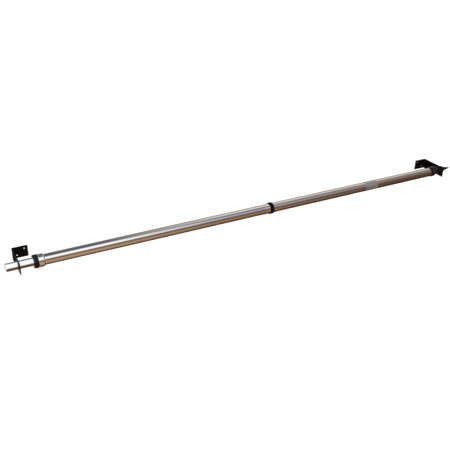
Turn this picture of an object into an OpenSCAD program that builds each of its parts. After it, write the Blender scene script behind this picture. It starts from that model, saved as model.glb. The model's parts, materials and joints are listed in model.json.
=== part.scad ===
// Telescoping pull-up bar carried by two bent-steel wall brackets.
// Millimetres. +X runs along the bar from the adjustable end to the fixed end,
// +Y points into the wall and +Z is up. The origin is on the left bracket's wall
// face, midway between its two screw holes.

/* [Wall brackets] */
// Clear distance between the two bracket arms
bracket_gap = 1526.5; // [1400:0.5:1600]
// Height of the bracket strip
strip_h = 35; // [32:1:45]
// Thickness of the bracket strip
strip_t = 3; // [2:0.5:4]
// Length of the leg on the wall
wall_leg = 46; // [44:1:60]
// Distance from the wall to the bar's axis
axis_to_wall = 74; // [60:1:120]
// Length of the arm past the bar's axis
arm_nose = 26; // [20:1:40]
// Radius inside the bend
bend_r = 2; // [1:0.5:4]
// Diameter of a screw hole
screw_d = 4; // [4:0.5:6.5]
// Distance between the two screw holes along the bar
screw_dx = 22; // [16:1:24]
// Height between the two screw holes
screw_dz = 18; // [12:1:20]
// Distance from the arm's outer face to the middle of the screw holes
screw_mid = 25; // [22:1:28]

/* [Tubes] */
// Diameter of the large tube
tube_d = 32; // [31:0.5:33]
// Diameter of the inner tube and of the fixed stub
inner_d = 25.4; // [24:0.1:25.4]
// Wall thickness of the tubes
wall = 1.5; // [1:0.1:1.6]
// Length of the inner tube
inner_len = 400; // [300:5:500]
// How far the inner tube stands out past the left bracket
inner_out = 34.5; // [10:0.5:60]
// Thickness of the cap on the inner tube's outer end
cap_t = 1.5; // [1:0.5:3]
// How far the fixed stub stands out past the inner face of the right bracket
stub_out = 18.5; // [15:0.5:40]

/* [Clamp] */
// Distance from the left bracket's arm to the lock nut
nut_gap = 40; // [20:0.5:60]
// Diameter of the lock nut over its ribs
nut_d = 39.8; // [38:0.2:44]
// Length of the lock nut
nut_len = 12.7; // [12:0.1:16]
// Number of ribs on the lock nut
nut_ribs = 8; // [6:1:18]
// Largest diameter of the lock collar
collar_d = 38.4; // [37:0.2:40]
// Length of the lock collar that shows
collar_len = 18; // [14:0.5:24]

/* [Centre joint] */
// Distance from the lock collar to the ferrule
left_run = 716; // [650:1:760]
// Length of the ferrule on the left half
ferrule_len = 15; // [10:0.5:25]
// Diameter of the ferrule
ferrule_d = 33.2; // [33.1:0.1:34]
// Diameter of the rubber ring
ring_d = 37.8; // [36:0.2:40]
// Width of the rubber ring
ring_len = 14; // [10:0.5:18]

/* [Fixed end] */
// Width of the seal ring in front of the end collar
seal_len = 4; // [2:0.5:6]
// Length of the end collar
end_len = 18; // [15:0.5:20]
// Diameter of the end collar
end_d = 35.6; // [34.6:0.2:38]
// Distance from the end collar to the right bracket
end_gap = 17; // [12:0.5:25]
// Length of the tapered part of the end plug
cone_len = 37; // [20:0.5:40]
// Diameter at the base of the tapered part
cone_d = 18; // [10:0.5:22]

/* [Label] */
// Length of the blank label
label_len = 50.5; // [30:0.5:80]
// Distance from the ring to the blank label
label_from_ring = 371.5; // [300:0.5:500]

/* [Hidden] */
// Clearances: between a piece that moves and its neighbour, and in a running fit
gap = 0.3;
run_gap = 0.06;
face_gap = 0.1;
fine = 96;
small = 48;
past = 1;

outer_r = tube_d / 2;
bore_r = outer_r - wall;
inner_r = inner_d / 2;
hollow_r = inner_r - wall;

// Stations along the bar, from left to right
left_arm_x = -screw_mid;
left_inside_x = left_arm_x + strip_t;
right_inside_x = left_inside_x + bracket_gap;
right_arm_x = right_inside_x + strip_t;
right_screw_x = right_arm_x - screw_mid;
inner_x = left_arm_x - inner_out;
nut_x = left_inside_x + nut_gap;
collar_x = nut_x + nut_len + gap;
collar_end_x = collar_x + collar_len;
ferrule_x = collar_end_x + left_run;
joint_x = ferrule_x + ferrule_len;
ring_end_x = joint_x + ring_len;
end_x = right_inside_x - end_gap - end_len;
stub_end_x = right_inside_x + stub_out;

// Lock nut and its clamp
nut_flange = 2.4;
washer_t = 1;
nose_x = nut_x + nut_flange + washer_t + 2 * face_gap;
nose_r = outer_r + 0.6;
nose_bore_r = bore_r + 0.1;
seat_len = 4;
seat_r = nose_r - 0.7;
flute_r = 4;
flute_depth = 1.4;
nut_chamfer = 1;
collar_taper = 5;
collar_lip_r = outer_r + 0.9;
tube_seat = 2.5;
tube_x = collar_x + tube_seat;
collet_len = 8.4;
collet_slots = 6;
collet_slot_w = 1.5;
mouth_bush_len = 30;

// Guide on the hidden end of the inner tube
guide_len = 30;
guide_x = inner_x + inner_len - guide_len;
pin_r = 2;

// Cap in the outer end of the inner tube
cap_spigot = 9;
cap_round = 0.6;

// Centre joint
lip_t = 3.5;
lip_x = joint_x + lip_t;
insert_len = 50;
stud_r = 9.9;
stud_bore_r = 10;
stud_len = 43;
blind_pin_len = 4.8;
insert_pin_x = joint_x - 25;
spigot_pin_x = lip_x + 25;
ring_round = 2;

// Fixed end
seal_r = outer_r + 1;
end_seat = 9;
end_chamfer = 0.8;
end_crown = 12;
end_lip_r = inner_r + 1.2;
stub_inside = 100;
stub_x = end_x - stub_inside + end_len;
spacer_len = 15;
spacer_a_x = stub_x + 5;
spacer_b_x = end_x - 10;
stub_pin_x = spacer_a_x + spacer_len / 2;
plug_spigot = 25;
plug_tip_r = 1.5;

label_t = 0.15;
label_wrap = 200;
label_turn = 140;
label_x = ring_end_x + label_from_ring;

// Puts its children on the bar's axis at station x, with their +Z along the bar
module on_bar(x) {
    translate([x, -axis_to_wall, 0]) rotate([0, 90, 0]) children();
}

// A plain ring or tube from station x0 to x1
module ring(x0, x1, r_out, r_in, sides = fine) {
    on_bar(x0) difference() {
        cylinder(h = x1 - x0, r = r_out, $fn = sides);
        translate([0, 0, -past]) cylinder(h = x1 - x0 + 2 * past, r = r_in, $fn = sides);
    }
}

// A turned piece: its outline is a list of [radius, station] points
module turned(outline) {
    on_bar(0) rotate_extrude($fn = fine) polygon(outline);
}

// A pin that enters the bar from below at station x and stops at r_in
module pin_from_below(x, r_in, r_out, r = pin_r) {
    translate([x, -axis_to_wall, -r_out]) cylinder(h = r_out - r_in, r = r, $fn = small);
}

// The L-shaped strip, seen from above: the wall leg runs towards +X from the arm
module bracket_outline() {
    bend_out = bend_r + strip_t;
    arm_end = -(axis_to_wall + arm_nose);
    difference() {
        union() {
            translate([0, arm_end]) square([strip_t, -arm_end - bend_out]);
            translate([bend_out, -strip_t]) square([wall_leg - bend_out, strip_t]);
            intersection() {
                translate([bend_out, -bend_out]) circle(r = bend_out, $fn = small);
                translate([0, -bend_out]) square(bend_out);
            }
        }
        translate([bend_out, -bend_out]) circle(r = bend_r, $fn = small);
    }
}

// One bracket with its arm's outer face at x = 0 and the wall leg towards +X
module bracket() {
    difference() {
        translate([0, 0, -strip_h / 2]) linear_extrude(strip_h) bracket_outline();
        translate([-past, -axis_to_wall, 0]) rotate([0, 90, 0])
            cylinder(h = strip_t + 2 * past, r = inner_r + gap, $fn = fine);
        for (side = [-1, 1])
            translate([screw_mid + side * screw_dx / 2, past, side * screw_dz / 2])
                rotate([90, 0, 0])
                    cylinder(h = strip_t + 2 * past, d = screw_d, $fn = small);
    }
}

module left_bracket() {
    color("#17100c") translate([left_arm_x, 0, 0]) bracket();
}

module right_bracket() {
    color("#17100c") translate([right_arm_x, 0, 0]) mirror([1, 0, 0]) bracket();
}

// Pale cap pressed into the inner tube, flush with its outside
module inner_cap() {
    color("#e9e6e0") turned([
        [0, inner_x], [inner_r - cap_round, inner_x], [inner_r, inner_x + cap_round],
        [inner_r, inner_x + cap_t], [hollow_r, inner_x + cap_t],
        [hollow_r, inner_x + cap_spigot], [0, inner_x + cap_spigot]
    ]);
}

module inner_tube() {
    color("#e4e8ec") difference() {
        ring(inner_x + cap_t, inner_x + inner_len, inner_r, hollow_r);
        translate([guide_x + guide_len / 2, -axis_to_wall, -outer_r])
            cylinder(h = tube_d, r = pin_r, $fn = small);
    }
}

module guide_bush() {
    color("#2b2b2b") difference() {
        ring(guide_x, guide_x + guide_len, bore_r - run_gap, inner_r);
        translate([guide_x + guide_len / 2, -axis_to_wall, -outer_r])
            cylinder(h = tube_d, r = pin_r, $fn = small);
    }
}

module guide_pin() {
    pin_len = 2 * (bore_r - 0.5);
    color("#a9a9a4")
        translate([guide_x + guide_len / 2, -axis_to_wall, -pin_len / 2])
            cylinder(h = pin_len, r = pin_r, $fn = small);
}

// Ribbed ring nut: a flange towards the bracket and a wide bore over the collar's nose
module lock_nut() {
    nut_r = nut_d / 2;
    end = nut_x + nut_len;
    color("#1b1b1a") difference() {
        turned([
            [inner_r + gap, nut_x], [nut_r - nut_chamfer, nut_x],
            [nut_r, nut_x + nut_chamfer], [nut_r, end - nut_chamfer],
            [nut_r - nut_chamfer, end], [nose_r + gap, end],
            [nose_r + gap, nut_x + nut_flange], [inner_r + gap, nut_x + nut_flange]
        ]);
        for (i = [0 : nut_ribs - 1])
            on_bar(nut_x - past) rotate([0, 0, i * 360 / nut_ribs])
                translate([nut_r + flute_r - flute_depth, 0, 0])
                    cylinder(h = nut_len + 2 * past, r = flute_r, $fn = small);
    }
}

module slip_washer() {
    start = nut_x + nut_flange + face_gap;
    color("#b9b9b2") ring(start, start + washer_t, nose_r - 0.2, inner_r + gap);
}

// Split cone ring that grips the inner tube when the nut is tightened
module collet() {
    end = nose_x + collet_len;
    grip_r = inner_r + run_gap;
    color("#e8e4d8") difference() {
        turned([
            [grip_r, nose_x], [seat_r - face_gap, nose_x],
            [nose_bore_r - face_gap, nose_x + seat_len], [nose_bore_r - face_gap, end],
            [grip_r, end]
        ]);
        for (i = [0 : collet_slots - 1])
            on_bar(nose_x + 2) rotate([0, 0, i * 360 / collet_slots])
                translate([0, -collet_slot_w / 2, 0])
                    cube([outer_r, collet_slot_w, collet_len]);
    }
}

// Collar with a threaded nose, a bore for the tube and a tapered tail
module lock_collar() {
    collar_r = collar_d / 2;
    color("#d5d9dd") turned([
        [nose_bore_r, nose_x + seat_len], [seat_r, nose_x], [nose_r, nose_x],
        [nose_r, collar_x], [collar_r, collar_x],
        [collar_r, collar_end_x - collar_taper], [collar_lip_r, collar_end_x],
        [outer_r, collar_end_x], [outer_r, tube_x], [nose_bore_r, tube_x]
    ]);
}

module mouth_bush() {
    color("#2b2b2b") ring(tube_x, tube_x + mouth_bush_len, bore_r, inner_r + run_gap);
}

module left_tube() {
    color("#c9ced3") difference() {
        ring(tube_x, joint_x, outer_r, bore_r);
        pin_from_below(insert_pin_x, bore_r - past, outer_r + past);
    }
}

module centre_sleeve() {
    lip = 0.3;
    ferrule_r = ferrule_d / 2;
    color("#e4e8ec") turned([
        [outer_r, ferrule_x], [ferrule_r - lip, ferrule_x], [ferrule_r, ferrule_x + lip],
        [ferrule_r, joint_x - lip], [ferrule_r - lip, joint_x], [outer_r, joint_x]
    ]);
}

// Rubber ring: a lip pinched between the halves and a skirt over the right tube
module centre_ring() {
    ring_r = ring_d / 2;
    color("#121212") on_bar(joint_x) rotate_extrude($fn = fine) difference() {
        union() {
            translate([stud_bore_r + face_gap, 0]) square([ring_r - ring_round - stud_bore_r - face_gap, ring_len]);
            translate([ring_r - 2 * ring_round, ring_round]) square([2 * ring_round, ring_len - 2 * ring_round]);
            for (end = [ring_round, ring_len - ring_round])
                translate([ring_r - ring_round, end]) circle(r = ring_round, $fn = small);
        }
        translate([0, lip_t]) square([outer_r, ring_len]);
    }
}

module threaded_insert() {
    color("#9a9a94") difference() {
        ring(joint_x - insert_len, joint_x, bore_r, stud_bore_r);
        pin_from_below(insert_pin_x, stud_bore_r + past, outer_r + past);
    }
}

module threaded_spigot() {
    color("#9a9a94") difference() {
        turned([
            [0, lip_x - stud_len], [stud_r - 1, lip_x - stud_len], [stud_r, lip_x - stud_len + 1],
            [stud_r, lip_x], [bore_r, lip_x], [bore_r, lip_x + insert_len], [0, lip_x + insert_len]
        ]);
        pin_from_below(spigot_pin_x, stud_bore_r + past, outer_r + past);
    }
}

module joint_pins() {
    color("#a9a9a4") for (x = [insert_pin_x, spigot_pin_x])
        pin_from_below(x, outer_r - blind_pin_len, outer_r);
}

module right_tube() {
    color("#c2c2c0") difference() {
        ring(lip_x, end_x + end_seat, outer_r, bore_r);
        pin_from_below(spigot_pin_x, bore_r - past, outer_r + past);
        pin_from_below(stub_pin_x, bore_r - past, outer_r + past);
    }
}

module seal_ring() {
    color("#1a1716") ring(end_x - seal_len, end_x, seal_r, outer_r);
}

// Cap that steps the large tube down to the stub, with a crown towards the bracket
module right_collar() {
    end_r = end_d / 2;
    far = end_x + end_len;
    color("#c2c2c0") turned([
        [outer_r, end_x], [end_r - end_chamfer, end_x], [end_r, end_x + end_chamfer],
        [end_r, far - end_crown], [end_r - 0.5, far - 0.58 * end_crown],
        [end_r - 1.8, far - 0.25 * end_crown], [end_lip_r, far], [inner_r, far],
        [inner_r, end_x + end_seat], [outer_r, end_x + end_seat]
    ]);
}

module right_stub() {
    color("#e4e8ec") difference() {
        ring(stub_x, stub_end_x, inner_r, hollow_r);
        pin_from_below(stub_pin_x, hollow_r - past, outer_r);
    }
}

module stub_spacers() {
    color("#2b2b2b") difference() {
        for (x = [spacer_a_x, spacer_b_x]) ring(x, x + spacer_len, bore_r, inner_r);
        pin_from_below(stub_pin_x, inner_r - past, outer_r);
    }
}

module stub_pin() {
    color("#a9a9a4") pin_from_below(stub_pin_x, hollow_r, outer_r);
}

// Tapered lead-in plug: its spigot is pressed in flush with the stub's mouth, its tip is round
module end_plug() {
    tip_x = stub_end_x + cone_len;
    cone_r = cone_d / 2;
    slope = atan((cone_r - plug_tip_r) / cone_len);
    color("#2a2320") on_bar(0) rotate_extrude($fn = fine) union() {
        polygon([
            [0, stub_end_x - plug_spigot], [hollow_r, stub_end_x - plug_spigot],
            [hollow_r, stub_end_x], [cone_r, stub_end_x],
            [plug_tip_r * cos(slope), tip_x - plug_tip_r * (1 - sin(slope))],
            [0, tip_x - plug_tip_r * (1 - sin(slope))]
        ]);
        intersection() {
            translate([0, tip_x - plug_tip_r]) circle(r = plug_tip_r, $fn = small);
            translate([0, tip_x - 2 * plug_tip_r]) square(2 * plug_tip_r);
        }
    }
}

module blank_label() {
    color("#a8a6a2") on_bar(label_x) rotate([0, 0, label_turn])
        rotate_extrude(angle = label_wrap, $fn = fine)
            translate([outer_r, 0]) square([label_t, label_len]);
}

left_bracket();
right_bracket();
inner_cap();
inner_tube();
guide_bush();
guide_pin();
lock_nut();
slip_washer();
collet();
lock_collar();
mouth_bush();
left_tube();
centre_sleeve();
centre_ring();
threaded_insert();
threaded_spigot();
joint_pins();
right_tube();
seal_ring();
right_collar();
right_stub();
stub_spacers();
stub_pin();
end_plug();
blank_label();
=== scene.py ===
"""Looks of a telescoping pull-up bar on two wall brackets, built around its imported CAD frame.

Everything is in metres, in the frame's own axes: +X along the bar, +Y into the wall, +Z up.
"""

import json
import math

import bmesh
import bpy
from mathutils import Matrix, Vector


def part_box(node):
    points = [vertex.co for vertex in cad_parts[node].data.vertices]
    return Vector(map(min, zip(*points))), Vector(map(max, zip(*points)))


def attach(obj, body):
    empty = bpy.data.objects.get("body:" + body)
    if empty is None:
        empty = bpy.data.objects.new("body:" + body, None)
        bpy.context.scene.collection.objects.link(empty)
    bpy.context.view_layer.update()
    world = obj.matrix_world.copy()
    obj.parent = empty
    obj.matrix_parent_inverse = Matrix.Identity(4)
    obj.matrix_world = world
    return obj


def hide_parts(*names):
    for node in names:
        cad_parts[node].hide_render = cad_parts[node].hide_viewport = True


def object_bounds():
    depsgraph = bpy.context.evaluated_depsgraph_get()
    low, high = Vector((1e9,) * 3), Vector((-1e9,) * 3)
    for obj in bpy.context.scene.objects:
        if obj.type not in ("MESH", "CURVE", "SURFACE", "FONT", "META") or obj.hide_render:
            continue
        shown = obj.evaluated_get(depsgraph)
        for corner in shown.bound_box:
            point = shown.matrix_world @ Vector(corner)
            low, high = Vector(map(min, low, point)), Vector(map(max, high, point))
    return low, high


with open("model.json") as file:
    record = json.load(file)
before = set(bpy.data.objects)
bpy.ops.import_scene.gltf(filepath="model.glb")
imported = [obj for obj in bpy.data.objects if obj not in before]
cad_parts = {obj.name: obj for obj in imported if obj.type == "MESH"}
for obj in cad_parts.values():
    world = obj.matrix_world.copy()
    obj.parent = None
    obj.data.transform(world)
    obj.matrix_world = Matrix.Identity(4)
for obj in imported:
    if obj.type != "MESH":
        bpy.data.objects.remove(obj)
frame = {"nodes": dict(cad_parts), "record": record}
cad_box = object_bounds()

bl_info = {
    "name": "Pull-up Bar",
    "version": (1, 0, 0),
    "blender": (4, 5, 0),
    "location": "View3D > Sidebar > Pull-up Bar",
    "description": "Builds the chromed bar, its clamp, its brackets and a plain studio round the CAD frame",
    "category": "Add Mesh",
}

MM = 0.001
TURN = 2 * math.pi
# Room that a flat keeps between its rounded corners
FLAT_MARGIN = 0.4 * MM
# From the bar's axis to the cards that its ends mirror
CARD_AWAY = 100 * MM


# Places that the frame gives


def middle(node):
    """Centre of a CAD node's box."""
    low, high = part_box(node)
    return (low + high) / 2


def radius(node):
    """Outer radius of a round CAD node that lies along the bar."""
    low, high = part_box(node)
    return (high.z - low.z) / 2


def span(node):
    """First and last station of a CAD node along the bar."""
    low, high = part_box(node)
    return low.x, high.x


AXIS = middle("left_tube")
BAR_START, BAR_END = cad_box[0][0], cad_box[1][0]


# Sizes and colours that a user would change


class PULLUP_PG_shape(bpy.types.PropertyGroup):
    """Sizes of the small shapes that the CAD frame leaves plain."""

    steps: bpy.props.IntProperty(
        name="Steps round a tube", description="Sides of a turned piece", default=144, min=48, max=256
    )
    wall: bpy.props.FloatProperty(
        name="Tube wall", description="Wall thickness of the tubes", default=1.5 * MM, unit="LENGTH"
    )
    cut_edge: bpy.props.FloatProperty(
        name="Tube edge", description="Rounding of a tube's deburred end", default=0.4 * MM, unit="LENGTH"
    )
    ribs: bpy.props.IntProperty(
        name="Nut ribs", description="Grooves round the lock nut", default=8, min=6, max=18
    )
    rib_depth: bpy.props.FloatProperty(
        name="Groove depth", description="Depth of the nut's grooves", default=1.4 * MM, unit="LENGTH"
    )
    rib_gap: bpy.props.FloatProperty(
        name="Groove width", description="Share of the rim that the grooves take", default=0.37, min=0.1, max=0.9
    )
    bead: bpy.props.FloatProperty(
        name="Bead width", description="Width of the ferrule's rolled bead", default=2.4 * MM, unit="LENGTH"
    )
    plug_base: bpy.props.FloatProperty(
        name="Plug base", description="Radius of the end plug's taper where it starts", default=8.9 * MM, unit="LENGTH"
    )
    strip: bpy.props.FloatProperty(
        name="Strip thickness", description="Thickness of the bracket strip", default=3 * MM, unit="LENGTH"
    )
    bend: bpy.props.FloatProperty(
        name="Bend radius", description="Radius inside the bracket's bend", default=2 * MM, unit="LENGTH"
    )
    strip_edge: bpy.props.FloatProperty(
        name="Strip edge", description="Rounding of the painted strip's edges", default=0.4 * MM, unit="LENGTH"
    )
    tube_hole: bpy.props.FloatProperty(
        name="Tube hole", description="Radius of the hole for the tube", default=13 * MM, unit="LENGTH"
    )
    screw_hole: bpy.props.FloatProperty(
        name="Screw hole", description="Radius of a screw hole", default=2 * MM, unit="LENGTH"
    )
    screw_apart: bpy.props.FloatVectorProperty(
        name="Screw spacing",
        description="Distance between the two screw holes, along the bar and in height",
        size=2,
        default=(22 * MM, 18 * MM),
        unit="LENGTH",
    )
    label_film: bpy.props.FloatProperty(
        name="Label film", description="Thickness of the label's film", default=0.12 * MM, unit="LENGTH"
    )


class PULLUP_PG_finish(bpy.types.PropertyGroup):
    """Colours of the finishes, as sRGB hex values."""

    tube_chrome: bpy.props.StringProperty(
        name="Tube chrome", description="Chrome plate of the large tubes", default="e6e6e6"
    )
    stub_chrome: bpy.props.StringProperty(
        name="Stub chrome", description="Chrome plate of the thin tubes and collars", default="f2f4f6"
    )
    paint: bpy.props.StringProperty(
        name="Bracket paint", description="Black paint of the brackets", default="050302"
    )
    nylon: bpy.props.StringProperty(name="Nut nylon", description="Black nylon of the lock nut", default="050505")
    rubber: bpy.props.StringProperty(name="Ring rubber", description="Rubber of the centre ring", default="030303")
    plug: bpy.props.StringProperty(name="Plug plastic", description="Dark plastic of the end plug", default="231c19")
    cap: bpy.props.StringProperty(
        name="Cap plastic", description="White plastic of the inner tube's cap", default="e4e0dc"
    )
    label: bpy.props.StringProperty(
        name="Label film", description="Silver-grey film of the blank label", default="a9a9ab"
    )


class PULLUP_PG_stage(bpy.types.PropertyGroup):
    """Camera, floor and light."""

    azimuth: bpy.props.FloatProperty(
        name="Azimuth", description="Camera's turn round the bar", default=math.radians(-28.0), subtype="ANGLE"
    )
    elevation: bpy.props.FloatProperty(
        name="Elevation", description="Camera's height above level", default=math.radians(27.7), subtype="ANGLE"
    )
    roll: bpy.props.FloatProperty(
        name="Roll", description="Camera's tilt to its side", default=math.radians(0.83), subtype="ANGLE"
    )
    distance: bpy.props.FloatProperty(
        name="Distance", description="From the camera to what it aims at", default=2.194, unit="LENGTH"
    )
    aim_along: bpy.props.FloatProperty(
        name="Aim along", description="Where the camera aims, as a share of the bar", default=0.421, min=0, max=1
    )
    aim_drop: bpy.props.FloatProperty(
        name="Aim drop", description="How far below the bar the camera aims", default=24 * MM, unit="LENGTH"
    )
    lens: bpy.props.FloatProperty(
        name="Lens", description="Focal length on a 36 mm sensor", default=55.4, unit="CAMERA"
    )
    floor_drop: bpy.props.FloatProperty(
        name="Floor drop", description="From the brackets down to the floor", default=0.55, unit="LENGTH"
    )
    floor: bpy.props.StringProperty(name="Floor", description="Colour of the floor", default="f8f7f6")
    floor_glow: bpy.props.FloatProperty(
        name="Floor glow", description="How much the light table glows", default=0.3, min=0
    )
    soft: bpy.props.FloatProperty(
        name="Surroundings", description="Strength of the light from the surroundings", default=1.25, min=0
    )
    key: bpy.props.FloatProperty(name="Key light", description="Strength of the wide key light", default=1.3, min=0)


# Materials


def colour(code):
    """A linear colour from an sRGB hex value."""
    channels = [int(code[i : i + 2], 16) / 255 for i in (0, 2, 4)]
    linear = [c / 12.92 if c <= 0.04045 else ((c + 0.055) / 1.055) ** 2.4 for c in channels]
    return (*linear, 1.0)


def add(tree, kind, sockets=None, stops=None, **settings):
    """Adds a node: settings are its own properties, sockets are values or outputs for its inputs."""
    made = tree.nodes.new("ShaderNode" + kind)
    for name, value in settings.items():
        setattr(made, name, value)
    if stops:
        ramp = made.color_ramp
        while len(ramp.elements) < len(stops):
            ramp.elements.new(0.5)
        for element, (place, code) in zip(ramp.elements, stops):
            element.position = place
            element.color = colour(code)
    for name, value in (sockets or {}).items():
        if isinstance(value, bpy.types.NodeSocket):
            tree.links.new(value, made.inputs[name])
        else:
            made.inputs[name].default_value = value
    return made


def new_material(name):
    """An empty material, its node tree, its shader and the Object coordinates."""
    material = bpy.data.materials.new(name)
    material.use_nodes = True
    tree = material.node_tree
    shader = tree.nodes["Principled BSDF"]
    place = add(tree, "TexCoord").outputs["Object"]
    return material, tree, shader, place


def join(tree, output, socket):
    """Links an output to a shader's socket."""
    tree.links.new(output, socket)


def mottle(tree, shader, pattern, code, other_code):
    """Lets the base colour drift between two colours over a pattern."""
    factors = {"Factor": pattern.outputs["Fac"], "A": colour(code), "B": colour(other_code)}
    base = add(tree, "Mix", factors, data_type="RGBA")
    join(tree, base.outputs["Result"], shader.inputs["Base Color"])


def vary_gloss(tree, shader, pattern, low, high):
    """Lets the roughness drift between two values over a pattern."""
    rough = add(tree, "MapRange", {"Value": pattern.outputs["Fac"], "To Min": low, "To Max": high})
    join(tree, rough.outputs["Result"], shader.inputs["Roughness"])


def emboss(tree, shader, height, strength, distance):
    """Raises the surface by a height output."""
    bump = add(tree, "Bump", {"Height": height, "Strength": strength, "Distance": distance})
    join(tree, bump.outputs["Normal"], shader.inputs["Normal"])


def chrome_plate(name, code, clean, hazed):
    """Decorative chrome over polished steel tube: a mirror with a little haze where it is handled."""
    material, tree, shader, place = new_material(name)
    shader.inputs["Metallic"].default_value = 1.0
    # Hand haze comes in patches of about 35 mm
    haze = add(tree, "TexNoise", {"Vector": place, "Scale": 1 / (35 * MM), "Detail": 4.0, "Roughness": 0.55})
    rough = add(
        tree,
        "MapRange",
        {"Value": haze.outputs["Fac"], "From Min": 0.4, "From Max": 0.7, "To Min": clean, "To Max": hazed},
    )
    join(tree, rough.outputs["Result"], shader.inputs["Roughness"])
    # Polishing lines run round the tube. Real ones are 0.05 mm apart and are drawn at 0.6 mm to show
    stretched = add(tree, "Mapping", {"Vector": place, "Scale": (1 / (0.6 * MM), 12.0, 12.0)})
    lines = add(tree, "TexNoise", {"Vector": stretched.outputs["Vector"], "Scale": 1.0, "Detail": 3.0})
    tint = add(
        tree,
        "Mix",
        {"Factor": lines.outputs["Fac"], "A": colour(code), "B": [0.93 * c for c in colour(code)[:3]] + [1.0]},
        data_type="RGBA",
    )
    join(tree, tint.outputs["Result"], shader.inputs["Base Color"])
    emboss(tree, shader, lines.outputs["Fac"], 0.04, 0.02 * MM)
    return material


def stove_paint(name, code):
    """Semi-gloss black stoving paint on bent strip: a slight orange peel and a thinner, browner coat in places."""
    material, tree, shader, place = new_material(name)
    shader.inputs["IOR"].default_value = 1.5
    shader.inputs["Specular IOR Level"].default_value = 0.12
    # The coat's thickness changes over about 20 mm
    coat = add(tree, "TexNoise", {"Vector": place, "Scale": 1 / (20 * MM), "Detail": 3.0})
    mottle(tree, shader, coat, code, "0d0704")
    vary_gloss(tree, shader, coat, 0.36, 0.5)
    # Orange peel has a pitch of about 1.5 mm
    peel = add(tree, "TexNoise", {"Vector": place, "Scale": 1 / (1.5 * MM), "Detail": 2.0})
    emboss(tree, shader, peel.outputs["Fac"], 0.25, 0.05 * MM)
    return material


def moulded_plastic(name, code, worn_code, rough, grain, depth):
    """Injection moulded plastic: an even colour, paler where it is handled, over a spark-eroded grain."""
    material, tree, shader, place = new_material(name)
    shader.inputs["IOR"].default_value = 1.5
    shader.inputs["Specular IOR Level"].default_value = 0.3
    # Handling marks are about 8 mm across
    marks = add(tree, "TexNoise", {"Vector": place, "Scale": 1 / (8 * MM), "Detail": 5.0, "Roughness": 0.65})
    mottle(tree, shader, marks, code, worn_code)
    vary_gloss(tree, shader, marks, rough - 0.08, rough + 0.08)
    pits = add(tree, "TexVoronoi", {"Vector": place, "Scale": 1 / grain})
    emboss(tree, shader, pits.outputs["Distance"], 0.3, depth)
    return material


def ring_rubber(name, code):
    """Moulded black rubber: dull, with a dry bloom in patches and a fine matt grain."""
    material, tree, shader, place = new_material(name)
    shader.inputs["IOR"].default_value = 1.52
    shader.inputs["Specular IOR Level"].default_value = 0.12
    bloom = add(tree, "TexNoise", {"Vector": place, "Scale": 1 / (6 * MM), "Detail": 4.0})
    mottle(tree, shader, bloom, code, "09090a")
    vary_gloss(tree, shader, bloom, 0.5, 0.75)
    grain = add(tree, "TexNoise", {"Vector": place, "Scale": 1 / (0.5 * MM), "Detail": 2.0})
    emboss(tree, shader, grain.outputs["Fac"], 0.2, 0.05 * MM)
    return material


def label_film(name, code):
    """Matt metallised film: a soft silver-grey with faint clouding from handling."""
    material, tree, shader, place = new_material(name)
    shader.inputs["Metallic"].default_value = 0.75
    cloud = add(tree, "TexNoise", {"Vector": place, "Scale": 1 / (12 * MM), "Detail": 3.0})
    mottle(tree, shader, cloud, code, "b9b7b5")
    vary_gloss(tree, shader, cloud, 0.26, 0.36)
    return material


def turned_steel(name, code):
    """Zinc plated turned steel: tool marks round the bar's axis and a soft, uneven passivation."""
    material, tree, shader, place = new_material(name)
    shader.inputs["Metallic"].default_value = 1.0
    # Tool marks are 0.2 mm apart and are drawn at 0.4 mm to show
    marks = add(tree, "TexWave", {"Vector": place, "Scale": 1 / (0.4 * MM) / TURN, "Distortion": 1.5})
    cloud = add(tree, "TexNoise", {"Vector": place, "Scale": 1 / (7 * MM), "Detail": 3.0})
    mottle(tree, shader, cloud, code, "b5b09c")
    vary_gloss(tree, shader, cloud, 0.25, 0.4)
    emboss(tree, shader, marks.outputs["Fac"], 0.15, 0.03 * MM)
    return material


# Meshes


def to_object(mesh_data, name, material, sharp=35.0):
    """A finished object at the origin from a bmesh, smooth except at its sharp edges."""
    mesh = bpy.data.meshes.new(name)
    mesh_data.to_mesh(mesh)
    mesh_data.free()
    mesh.shade_smooth()
    mesh.set_sharp_from_angle(angle=math.radians(sharp))
    mesh.materials.append(material)
    made = bpy.data.objects.new(name, mesh)
    bpy.context.scene.collection.objects.link(made)
    return made


def hold_edges(shape, margin):
    """Adds a vertex near both ends of each long edge, so that rounded corners don't bend a flat's shading."""
    shortest = 4 * margin
    for edge in list(shape.edges):
        length = edge.calc_length()
        if length > shortest:
            first, last = (vertex.co.copy() for vertex in edge.verts)
            made = bmesh.ops.subdivide_edges(shape, edges=[edge], cuts=2)
            inner = [item for item in made["geom_inner"] if isinstance(item, bmesh.types.BMVert)]
            inner.sort(key=lambda vertex: (vertex.co - first).length)
            inner[0].co = first.lerp(last, margin / length)
            inner[1].co = last.lerp(first, margin / length)


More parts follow.
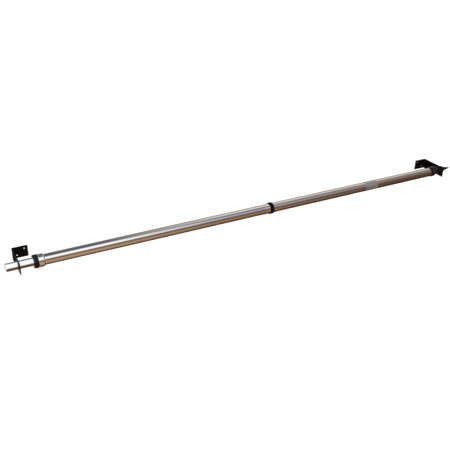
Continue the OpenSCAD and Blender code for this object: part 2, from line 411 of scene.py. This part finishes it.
def turn(outline, steps, closed=True):
    """A bmesh turned about the bar's axis. The outline lists (station, radius, rounding) corners."""
    shape = bmesh.new()
    corners = [shape.verts.new((x, AXIS.y, AXIS.z + r)) for x, r, _ in outline]
    for one, two in zip(corners, corners[1:]):
        shape.edges.new((one, two))
    if closed:
        shape.edges.new((corners[-1], corners[0]))
    for corner, (_, _, rounding) in zip(corners, outline):
        if rounding:
            bmesh.ops.bevel(
                shape, geom=[corner], offset=rounding, segments=4, profile=0.5, affect="VERTICES", material=-1
            )
    hold_edges(shape, FLAT_MARGIN)
    bmesh.ops.spin(
        shape,
        geom=shape.verts[:] + shape.edges[:],
        cent=AXIS,
        axis=(1, 0, 0),
        angle=TURN,
        steps=steps,
        use_merge=True,
    )
    bmesh.ops.remove_doubles(shape, verts=shape.verts, dist=1e-6)
    bmesh.ops.dissolve_degenerate(shape, edges=shape.edges, dist=1e-7)
    bmesh.ops.recalc_face_normals(shape, faces=shape.faces)
    return shape


def tube_outline(start, end, outer, wall, edge):
    """Corners of a plain tube with deburred ends."""
    return [(start, outer - wall, edge / 2), (start, outer, edge), (end, outer, edge), (end, outer - wall, edge / 2)]


def stand_for(piece, node, body):
    """Rides the piece on its body in place of a CAD node."""
    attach(piece, body)
    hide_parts(node)


# Operators, one for each piece or group of like pieces


class PULLUP_OT_large_tubes(bpy.types.Operator):
    """Turn the two large chromed tubes"""

    bl_idname = "pullup.large_tubes"
    bl_label = "Large Tubes"

    def execute(self, context):
        shape = context.scene.pullup_shape
        chrome = chrome_plate("chromed_steel_tube", context.scene.pullup_finish.tube_chrome, 0.02, 0.06)
        for node in ("left_tube", "right_tube"):
            start, end = span(node)
            outline = tube_outline(start, end, radius(node), shape.wall, shape.cut_edge)
            made = to_object(turn(outline, shape.steps), node + "_chromed", chrome)
            stand_for(made, node, "outer_bar")
        return {"FINISHED"}


class PULLUP_OT_thin_tubes(bpy.types.Operator):
    """Turn the sliding inner tube and the fixed stub"""

    bl_idname = "pullup.thin_tubes"
    bl_label = "Thin Tubes"

    def execute(self, context):
        shape = context.scene.pullup_shape
        chrome = chrome_plate("chromed_inner_tube", context.scene.pullup_finish.stub_chrome, 0.03, 0.08)
        for node, body in (("inner_tube", "inner_bar"), ("right_stub", "outer_bar")):
            start, end = span(node)
            outline = tube_outline(start, end, radius(node), shape.wall, shape.cut_edge)
            made = to_object(turn(outline, shape.steps), node + "_chromed", chrome)
            stand_for(made, node, body)
        return {"FINISHED"}


class PULLUP_OT_inner_cap(bpy.types.Operator):
    """Turn the white cap pressed into the inner tube"""

    bl_idname = "pullup.inner_cap"
    bl_label = "Inner Cap"

    def execute(self, context):
        start, end = span("inner_cap")
        seat = span("inner_tube")[0]
        top = radius("inner_cap")
        bore = top - context.scene.pullup_shape.wall
        outline = [
            (start, 0, 0),
            (start, top, 0.7 * MM),
            (seat, top, 0.1 * MM),
            (seat, bore, 0),
            (end, bore, 0.5 * MM),
            (end, 0, 0),
        ]
        plastic = moulded_plastic(
            "white_polyethylene", context.scene.pullup_finish.cap, "eeebe8", 0.4, 0.8 * MM, 0.02 * MM
        )
        made = to_object(turn(outline, context.scene.pullup_shape.steps, closed=False), "inner_cap_moulded", plastic)
        stand_for(made, "inner_cap", "inner_bar")
        return {"FINISHED"}


class PULLUP_OT_collars(bpy.types.Operator):
    """Turn the lock collar, the ferrule at the centre and the end collar"""

    bl_idname = "pullup.collars"
    bl_label = "Collars"

    def execute(self, context):
        shape = context.scene.pullup_shape
        chrome = chrome_plate("chromed_turned_collar", context.scene.pullup_finish.stub_chrome, 0.08, 0.16)
        tube = radius("left_tube")

        start, end = span("lock_collar")
        step = span("lock_nut")[1] + 0.3 * MM
        big = radius("lock_collar")
        taper = 2.6 * MM
        tail = end - taper
        lock_collar = [
            (start, tube - 1.4 * MM, 0.2 * MM),
            (start, tube + 0.6 * MM, 0.3 * MM),
            (step, tube + 0.6 * MM, 0.2 * MM),
            (step, big, 0.7 * MM),
            (tail - 1.5 * MM, big, 0.3 * MM),
            (tail - 1.2 * MM, big - 0.3 * MM, 0.1 * MM),
            (tail - 0.6 * MM, big - 0.3 * MM, 0.1 * MM),
            (tail - 0.3 * MM, big, 0.5 * MM),
            (end, tube + 0.9 * MM, 0.4 * MM),
            (end, tube, 0),
            (span("left_tube")[0], tube, 0),
            (span("left_tube")[0], tube - 1.4 * MM, 0),
        ]
        start, end = span("centre_sleeve")
        top = radius("centre_sleeve")
        bead = start + shape.bead
        ferrule = [
            (start, tube, 0),
            (start, top, 0.45 * MM),
            (bead, top, 0.3 * MM),
            (bead + 0.2 * MM, top - 0.35 * MM, 0.1 * MM),
            (end - 1.5 * MM, top - 0.35 * MM, 0.2 * MM),
            (end - 1.2 * MM, top - 0.1 * MM, 0.2 * MM),
            (end, top - 0.1 * MM, 0.2 * MM),
            (end, tube, 0),
        ]
        start, end = span("right_collar")
        top = radius("right_collar")
        stub = radius("right_stub")
        end_collar = [
            (start, tube, 0),
            (start, top, 0),
            (end - 12 * MM, top, 2 * MM),
            (end - 7 * MM, top - 0.55 * MM, 2 * MM),
            (end - 3 * MM, top - 1.85 * MM, 1.5 * MM),
            (end, stub + 1.1 * MM, 0.4 * MM),
            (end, stub, 0),
            (end - 9 * MM, stub, 0),
            (end - 9 * MM, tube, 0),
        ]
        for node, outline in (("lock_collar", lock_collar), ("centre_sleeve", ferrule), ("right_collar", end_collar)):
            made = to_object(turn(outline, shape.steps), node + "_turned", chrome)
            stand_for(made, node, "outer_bar")
        return {"FINISHED"}


class PULLUP_OT_lock_nut(bpy.types.Operator):
    """Turn the lock nut and press its grooves in"""

    bl_idname = "pullup.lock_nut"
    bl_label = "Lock Nut"

    def execute(self, context):
        shape = context.scene.pullup_shape
        start, end = span("lock_nut")
        # The box touches the edges of two grooves, so the ribs stand further out than the box
        groove_half = math.pi * shape.rib_gap / shape.ribs
        top = radius("lock_nut") / math.cos(groove_half)
        bore = radius("inner_tube") + 0.3 * MM
        nose = radius("left_tube") + 0.9 * MM
        flange = 2.4 * MM
        outline = [
            (start, bore, 0.4 * MM),
            (start, bore + 1.6 * MM, 0.2 * MM),
            (start + 0.6 * MM, bore + 2.0 * MM, 0.2 * MM),
            (start + 0.6 * MM, top - 3.2 * MM, 0.2 * MM),
            (start, top - 2.8 * MM, 0.2 * MM),
            (start, top, 1.0 * MM),
            (end, top, 1.0 * MM),
            (end, nose, 0.3 * MM),
            (start + flange, nose, 0.2 * MM),
            (start + flange, bore, 0.2 * MM),
        ]
        nut = turn(outline, 24 * shape.ribs)
        rim = top - 2.4 * MM
        for vertex in nut.verts:
            across = Vector((0, vertex.co.y - AXIS.y, vertex.co.z - AXIS.z))
            if across.length > rim:
                # Angle from the middle of the nearest groove, the first of which faces down
                angle = math.atan2(across.y, -across.z)
                off = abs(angle - round(angle / TURN * shape.ribs) * TURN / shape.ribs)
                groove = math.cos(math.pi / 2 * min(1.0, off / groove_half))
                share = (across.length - rim) / (top - rim)
                vertex.co -= across.normalized() * shape.rib_depth * groove * share
        plastic = moulded_plastic(
            "black_nylon", context.scene.pullup_finish.nylon, "0d0d0c", 0.24, 0.7 * MM, 0.03 * MM
        )
        made = to_object(nut, "lock_nut_ribbed", plastic, sharp=50)
        stand_for(made, "lock_nut", "lock_nut")
        return {"FINISHED"}


class PULLUP_OT_rubber_rings(bpy.types.Operator):
    """Turn the ring between the two halves and the seal ring at the end collar"""

    bl_idname = "pullup.rubber_rings"
    bl_label = "Rubber Rings"

    def execute(self, context):
        start, end = span("centre_ring")
        top = radius("centre_ring")
        tube = radius("left_tube")
        lip_end = span("right_tube")[0]
        half = (start + end) / 2
        outline = [
            (start, 10.2 * MM, 0.2 * MM),
            (start, top - 0.3 * MM, 1.6 * MM),
            (start + 2.5 * MM, top, 0.4 * MM),
            (half - 0.5 * MM, top, 0.1 * MM),
            (half, top - 0.35 * MM, 0.1 * MM),
            (half + 0.5 * MM, top, 0.1 * MM),
            (end - 2.5 * MM, top, 0.4 * MM),
            (end, top - 0.5 * MM, 1.6 * MM),
            (end, tube, 0.3 * MM),
            (lip_end, tube, 0),
            (lip_end, 10.2 * MM, 0),
        ]
        start, end = span("seal_ring")
        seal = [(start, tube, 0), (start, radius("seal_ring"), 0.7 * MM), (end, radius("seal_ring"), 0), (end, tube, 0)]
        rubber = ring_rubber("moulded_rubber", context.scene.pullup_finish.rubber)
        for node, corners in (("centre_ring", outline), ("seal_ring", seal)):
            made = to_object(turn(corners, context.scene.pullup_shape.steps), node + "_moulded", rubber)
            stand_for(made, node, "outer_bar")
        return {"FINISHED"}


class PULLUP_OT_end_plug(bpy.types.Operator):
    """Turn the tapered plug on the fixed stub"""

    bl_idname = "pullup.end_plug"
    bl_label = "End Plug"

    def execute(self, context):
        start, end = span("end_plug")
        stub = radius("right_stub")
        mouth = span("right_stub")[1]
        bore = stub - context.scene.pullup_shape.wall
        base = context.scene.pullup_shape.plug_base
        outline = [
            (start, 0, 0),
            (start, bore, 0.8 * MM),
            (mouth, bore, 0.5 * MM),
            (mouth, base, 0.3 * MM),
            (end - 1.2 * MM, 1.5 * MM, 0.9 * MM),
            (end, 0.5 * MM, 0.2 * MM),
            (end, 0, 0),
        ]
        plastic = moulded_plastic(
            "dark_moulded_plastic", context.scene.pullup_finish.plug, "332b27", 0.24, 0.9 * MM, 0.02 * MM
        )
        made = to_object(
            turn(outline, context.scene.pullup_shape.steps, closed=False), "end_plug_moulded", plastic
        )
        stand_for(made, "end_plug", "outer_bar")
        return {"FINISHED"}


def bent_strip(low, high, side, shape):
    """A bmesh of the L-shaped strip between two corners. The arm is at the low end of x if side is 1."""
    arm, leg_end = (low.x, high.x) if side > 0 else (high.x, low.x)
    inside = arm + side * shape.strip
    face = high.y - shape.strip
    places = [(arm, low.y), (arm, high.y), (leg_end, high.y), (leg_end, face), (inside, face), (inside, low.y)]
    strip = bmesh.new()
    corners = [strip.verts.new((x, y, low.z)) for x, y in places]
    for one, two in zip(corners, corners[1:] + corners[:1]):
        strip.edges.new((one, two))
    for corner, bend in ((corners[1], shape.bend + shape.strip), (corners[4], shape.bend)):
        bmesh.ops.bevel(
            strip, geom=[corner], offset=bend, segments=10, profile=0.5, affect="VERTICES", material=-1
        )
    bmesh.ops.contextual_create(strip, geom=strip.edges[:])
    grown = bmesh.ops.extrude_face_region(strip, geom=strip.faces[:])
    top = [item for item in grown["geom"] if isinstance(item, bmesh.types.BMVert)]
    bmesh.ops.translate(strip, verts=top, vec=(0, 0, high.z - low.z))
    margin = shape.bend + shape.strip + FLAT_MARGIN
    for spot, way in (((arm + side * margin, 0, 0), (1, 0, 0)), ((0, high.y - margin, 0), (0, 1, 0))):
        everything = strip.verts[:] + strip.edges[:] + strip.faces[:]
        bmesh.ops.bisect_plane(strip, geom=everything, plane_co=spot, plane_no=way)
    bmesh.ops.recalc_face_normals(strip, faces=strip.faces)
    return strip


def drill(piece, centre, axis, hole, depth):
    """Cuts a round hole through a piece."""
    bit = bmesh.new()
    bmesh.ops.create_cone(
        bit, cap_ends=True, cap_tris=False, segments=64, radius1=hole, radius2=hole, depth=depth
    )
    turned = Vector((0, 0, 1)).rotation_difference(Vector(axis)).to_matrix().to_4x4()
    bmesh.ops.transform(bit, verts=bit.verts, matrix=Matrix.Translation(centre) @ turned)
    cutter = to_object(bit, "drill_bit", piece.data.materials[0])
    cut = piece.modifiers.new("hole", "BOOLEAN")
    cut.operation = "DIFFERENCE"
    cut.solver = "EXACT"
    cut.object = cutter
    graph = bpy.context.evaluated_depsgraph_get()
    drilled = bpy.data.meshes.new_from_object(piece.evaluated_get(graph))
    piece.modifiers.remove(cut)
    piece.data = drilled
    bpy.data.objects.remove(cutter)


class PULLUP_OT_brackets(bpy.types.Operator):
    """Bend and drill the two painted wall brackets"""

    bl_idname = "pullup.brackets"
    bl_label = "Wall Brackets"

    def execute(self, context):
        shape = context.scene.pullup_shape
        paint = stove_paint("black_stove_paint", context.scene.pullup_finish.paint)
        centres = {m["name"]: Vector(m["pos_m"]) for m in frame["record"]["mounts"]}
        for node, side, mount in (("left_bracket", 1, "left_screws"), ("right_bracket", -1, "right_screws")):
            low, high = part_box(node)
            piece = to_object(bent_strip(low, high, side, shape), node + "_bent", paint)
            arm = low.x if side > 0 else high.x
            drill(piece, (arm + side * shape.strip / 2, AXIS.y, AXIS.z), (1, 0, 0), shape.tube_hole, 4 * shape.strip)
            for way in (-1, 1):
                across, up = (way * apart / 2 for apart in shape.screw_apart)
                spot = centres[mount] + Vector((side * across, -shape.strip / 2, up))
                drill(piece, spot, (0, 1, 0), shape.screw_hole, 4 * shape.strip)
            soften = piece.modifiers.new("painted_edge", "BEVEL")
            soften.width = shape.strip_edge
            soften.segments = 3
            soften.limit_method = "ANGLE"
            soften.angle_limit = math.radians(40)
            soften.harden_normals = True
            stand_for(piece, node, "wall_brackets")
        return {"FINISHED"}


class PULLUP_OT_label(bpy.types.Operator):
    """Wrap the blank label round the right half"""

    bl_idname = "pullup.label"
    bl_label = "Blank Label"

    def execute(self, context):
        shape = context.scene.pullup_shape
        start, end = span("blank_label")
        tube = radius("right_tube")
        top = tube + shape.label_film
        # The film starts past the top, on the wall side, and ends under the front
        wrap = math.radians(200)
        first = math.radians(140)
        away = Vector((0, math.sin(first), -math.cos(first))) * top
        film = bmesh.new()
        ends = [film.verts.new((x, AXIS.y + away.y, AXIS.z + away.z)) for x in (start, end)]
        edge = film.edges.new(ends)
        bmesh.ops.spin(
            film, geom=ends + [edge], cent=AXIS, axis=(1, 0, 0), angle=wrap, steps=shape.steps // 2
        )
        bmesh.ops.recalc_face_normals(film, faces=film.faces)
        bmesh.ops.solidify(film, geom=film.faces[:], thickness=shape.label_film - 0.02 * MM)
        vinyl = label_film("matt_vinyl", context.scene.pullup_finish.label)
        made = to_object(film, "blank_label_film", vinyl)
        stand_for(made, "blank_label", "outer_bar")
        return {"FINISHED"}


class PULLUP_OT_inside_parts(bpy.types.Operator):
    """Give the bushes, pins and the screwed joint their finishes"""

    bl_idname = "pullup.inside_parts"
    bl_label = "Inside Parts"

    def execute(self, context):
        acetal = moulded_plastic("black_acetal", "1d1d1d", "2c2c2c", 0.35, 0.6 * MM, 0.02 * MM)
        nylon = moulded_plastic("natural_nylon", "ded9c8", "ebe7da", 0.45, 0.6 * MM, 0.02 * MM)
        zinc = turned_steel("zinc_plated_steel", "a3a29a")
        spring = turned_steel("spring_steel", "8f8d86")
        finishes = {
            "guide_bush": acetal,
            "mouth_bush": acetal,
            "stub_spacers": acetal,
            "collet": nylon,
            "slip_washer": zinc,
            "threaded_insert": zinc,
            "threaded_spigot": zinc,
            "guide_pin": spring,
            "joint_pins": spring,
            "stub_pin": spring,
        }
        for node, finish in finishes.items():
            slots = frame["nodes"][node].data.materials
            slots.clear()
            slots.append(finish)
        return {"FINISHED"}


class PULLUP_OT_stage(bpy.types.Operator):
    """Set up the floor, the light and the camera"""

    bl_idname = "pullup.stage"
    bl_label = "Stage"

    def execute(self, context):
        stage = context.scene.pullup_stage
        pale_floor(stage, Vector(cad_box[0]).z - stage.floor_drop)
        studio_surroundings(stage)
        reflector_cards()
        key_light(stage)
        aim_camera(stage)
        context.scene.view_settings.view_transform = "Standard"
        return {"FINISHED"}


def pale_floor(stage, height):
    """A wide pale floor. Polished pieces mirror the surroundings and not the floor."""
    material, tree, shader, place = new_material("pale_floor")
    speckle = add(tree, "TexNoise", {"Vector": place, "Scale": 3.0, "Detail": 2.0})
    mottle(tree, shader, speckle, stage.floor, "f7f6f5")
    shader.inputs["Roughness"].default_value = 0.9
    shader.inputs["Specular IOR Level"].default_value = 0.2
    shader.inputs["Emission Color"].default_value = colour(stage.floor)
    shader.inputs["Emission Strength"].default_value = stage.floor_glow
    plane = bmesh.new()
    bmesh.ops.create_grid(plane, x_segments=1, y_segments=1, size=30)
    bmesh.ops.translate(plane, verts=plane.verts, vec=(0, 0, height))
    floor = to_object(plane, "floor", material)
    floor.visible_glossy = False


def studio_surroundings(stage):
    """A coloured studio all round, in bands about the bar: a wide soft window, a grey ceiling and a brown floor.

    Each stop is an angle about the bar and a colour. 0 is level in front, 90 straight up and -90 straight down.
    The bands change with the direction along the bar, from left to near, middle and far. The last steps repeat
    the near bands for views along the bar.
    """
    left = [
        (-180, "f4f5f6"), (-170, "b8b4b0"), (-158, "3a2a1e"), (-120, "2e2016"), (-72, "72543c"), (-40, "b88f68"),
        (-10, "9c8168"), (4, "6a5e54"), (22, "6e6c6b"), (36, "fafbfc"), (66, "ffffff"), (80, "9aa0a8"),
        (98, "5c6066"), (125, "7c7876"), (145, "a8a6a4"), (160, "fafbfc"), (180, "f4f5f6"),
    ]
    near = [
        (-180, "5e5248"), (-175, "f0f1f2"), (-157, "f0f1f2"), (-151, "5a4c41"), (-100, "4e3a2b"), (-72, "72543c"),
        (-50, "b0865f"), (-28, "bc9570"), (-10, "9c8168"), (4, "6a5e54"), (22, "6a6867"), (36, "fafbfc"),
        (66, "ffffff"), (80, "989ea6"), (92, "62686f"), (106, "4e4f51"), (130, "736b66"), (165, "766a62"),
        (180, "5e5248"),
    ]
    middle = [
        (-180, "4a3d33"), (-175, "e4e4e4"), (-157, "e4e4e4"), (-151, "463930"), (-100, "3a281b"), (-66, "704624"),
        (-45, "966642"), (-26, "9e7c5a"), (-10, "766352"), (4, "5c524e"), (18, "64606a"), (42, "b6b4c2"),
        (60, "888692"), (76, "68686a"), (92, "a8a49e"), (108, "eae3d7"), (130, "c4baad"), (160, "9c9082"),
        (180, "4a3d33"),
    ]
    far = [
        (-180, "3e3028"), (-175, "d6d4d2"), (-157, "d6d4d2"), (-151, "33261f"), (-100, "28170e"), (-66, "482a1a"),
        (-45, "583c28"), (-20, "5c4531"), (4, "54453c"), (20, "61534b"), (44, "837870"), (62, "7e736b"),
        (78, "7a6e65"), (94, "a2968b"), (110, "cec2b8"), (130, "c4bab2"), (158, "a0948a"), (180, "3e3028"),
    ]
    world = bpy.data.worlds.new("studio")
    bpy.context.scene.world = world
    world.use_nodes = True
    tree = world.node_tree
    tree.nodes.clear()
    way = add(tree, "SeparateXYZ", {0: add(tree, "TexCoord").outputs["Generated"]})
    front = add(tree, "Math", {0: way.outputs["Y"], 1: -1.0}, operation="MULTIPLY")
    angle = add(tree, "Math", {0: way.outputs["Z"], 1: front.outputs[0]}, operation="ARCTAN2")
    share = add(tree, "MapRange", {"Value": angle.outputs[0], "From Min": -math.pi, "From Max": math.pi})
    ramps = [
        add(tree, "ValToRGB", {"Fac": share.outputs["Result"]}, stops=[(a / 360 + 0.5, code) for a, code in bands])
        for bands in (left, near, middle, far, near)
    ]
    room = ramps[0].outputs["Color"]
    blends = ((-0.03, 0.07), (0.25, 0.42), (0.44, 0.64), (0.76, 0.88))
    for ramp, (start, end) in zip(ramps[1:], blends):
        along = add(tree, "MapRange", {"Value": way.outputs["X"], "From Min": start, "From Max": end})
        shares = {"Factor": along.outputs["Result"], "A": room, "B": ramp.outputs["Color"]}
        room = add(tree, "Mix", shares, data_type="RGBA").outputs["Result"]
    seen = add(tree, "LightPath").outputs["Is Camera Ray"]
    soft = add(tree, "Background", {"Color": room, "Strength": stage.soft})
    white = add(tree, "Background", {"Color": (1, 1, 1, 1), "Strength": 1.0})
    mix = add(tree, "MixShader", {0: seen, 1: soft.outputs[0], 2: white.outputs[0]})
    add(tree, "OutputWorld", {"Surface": mix.outputs[0]})


def reflector_cards():
    """Glowing curved cards that only reflections show, painted reflections: white, brown and pale round the left end,
    dark round the right.

    Each row is a name, a colour, a strength, two angles about the bar and two stations along it.
    """
    left = span("lock_nut")[0]
    right = span("seal_ring")[1]
    for name, code, strength, first, last, start, end in (
        ("white_card", "fafcff", 1.15, 4, 112, left - 275 * MM, left + 17 * MM),
        ("brown_card", "5a4433", 1.0, -66, -14, left - 275 * MM, left + 17 * MM),
        ("low_card", "f6f2ee", 1.0, -150, -82, left - 275 * MM, left + 17 * MM),
        ("dark_card", "382b29", 1.0, -150, 145, right + 66 * MM, right + 420 * MM),
    ):
        material, tree, shader, place = new_material(name)
        shader.inputs["Base Color"].default_value = colour("000000")
        shader.inputs["Specular IOR Level"].default_value = 0
        # Each card glows with its colour and is seen only in reflections: a painted reflection, not a lamp
        shader.inputs["Emission Color"].default_value = colour(code)
        shader.inputs["Emission Strength"].default_value = strength
        low = math.radians(first)
        sheet = bmesh.new()
        ends = [
            sheet.verts.new((x, AXIS.y - CARD_AWAY * math.cos(low), AXIS.z + CARD_AWAY * math.sin(low)))
            for x in (start, end)
        ]
        edge = sheet.edges.new(ends)
        bmesh.ops.spin(
            sheet,
            geom=ends + [edge],
            cent=AXIS,
            axis=(-1, 0, 0),
            angle=math.radians(last - first),
            steps=24,
        )
        card = to_object(sheet, name, material)
        card.visible_camera = False
        card.visible_diffuse = False
        card.visible_shadow = False


def key_light(stage):
    """A wide key light from the front and above, which polished pieces don't mirror."""
    data = bpy.data.lights.new("key", "SUN")
    data.energy = stage.key
    data.angle = math.radians(60)
    lamp = bpy.data.objects.new("key", data)
    lamp.rotation_euler = (math.radians(25), math.radians(-20), 0)
    lamp.visible_glossy = False
    bpy.context.scene.collection.objects.link(lamp)


def aim_camera(stage):
    """A camera at the chosen angle, aimed a little below the bar."""
    data = bpy.data.cameras.new("camera")
    data.lens = stage.lens
    data.sensor_width = 36
    camera = bpy.data.objects.new("camera", data)
    bpy.context.scene.collection.objects.link(camera)
    turned = Matrix.Rotation(stage.azimuth, 3, "Z") @ Matrix.Rotation(math.pi / 2 - stage.elevation, 3, "X")
    turned = turned @ Matrix.Rotation(stage.roll, 3, "Z")
    aim = Vector((BAR_START + stage.aim_along * (BAR_END - BAR_START), AXIS.y, AXIS.z - stage.aim_drop))
    camera.matrix_world = Matrix.Translation(aim + turned @ Vector((0, 0, stage.distance))) @ turned.to_4x4()
    bpy.context.scene.camera = camera


class PULLUP_PT_panel(bpy.types.Panel):
    """Lists the builders and their settings"""

    bl_idname = "PULLUP_PT_panel"
    bl_label = "Pull-up Bar"
    bl_space_type = "VIEW_3D"
    bl_region_type = "UI"
    bl_category = "Pull-up Bar"

    def draw(self, context):
        for operator in OPERATORS:
            self.layout.operator(operator.bl_idname)
        for group in (context.scene.pullup_shape, context.scene.pullup_finish, context.scene.pullup_stage):
            box = self.layout.box()
            for name in group.bl_rna.properties.keys():
                if name not in ("rna_type", "name"):
                    box.prop(group, name)


OPERATORS = (
    PULLUP_OT_stage,
    PULLUP_OT_large_tubes,
    PULLUP_OT_thin_tubes,
    PULLUP_OT_inner_cap,
    PULLUP_OT_collars,
    PULLUP_OT_lock_nut,
    PULLUP_OT_rubber_rings,
    PULLUP_OT_end_plug,
    PULLUP_OT_brackets,
    PULLUP_OT_label,
    PULLUP_OT_inside_parts,
)
GROUPS = {
    "pullup_shape": PULLUP_PG_shape,
    "pullup_finish": PULLUP_PG_finish,
    "pullup_stage": PULLUP_PG_stage,
}


def register():
    for group in GROUPS.values():
        bpy.utils.register_class(group)
    for name, group in GROUPS.items():
        setattr(bpy.types.Scene, name, bpy.props.PointerProperty(type=group))
    for part in (*OPERATORS, PULLUP_PT_panel):
        bpy.utils.register_class(part)


def unregister():
    for part in (*OPERATORS, PULLUP_PT_panel):
        bpy.utils.unregister_class(part)
    for name, group in GROUPS.items():
        delattr(bpy.types.Scene, name)
        bpy.utils.unregister_class(group)


def main():
    """Builds everything in order."""
    register()
    for operator in OPERATORS:
        group, name = operator.bl_idname.split(".")
        getattr(getattr(bpy.ops, group), name)()


if __name__ == "__main__":
    main()
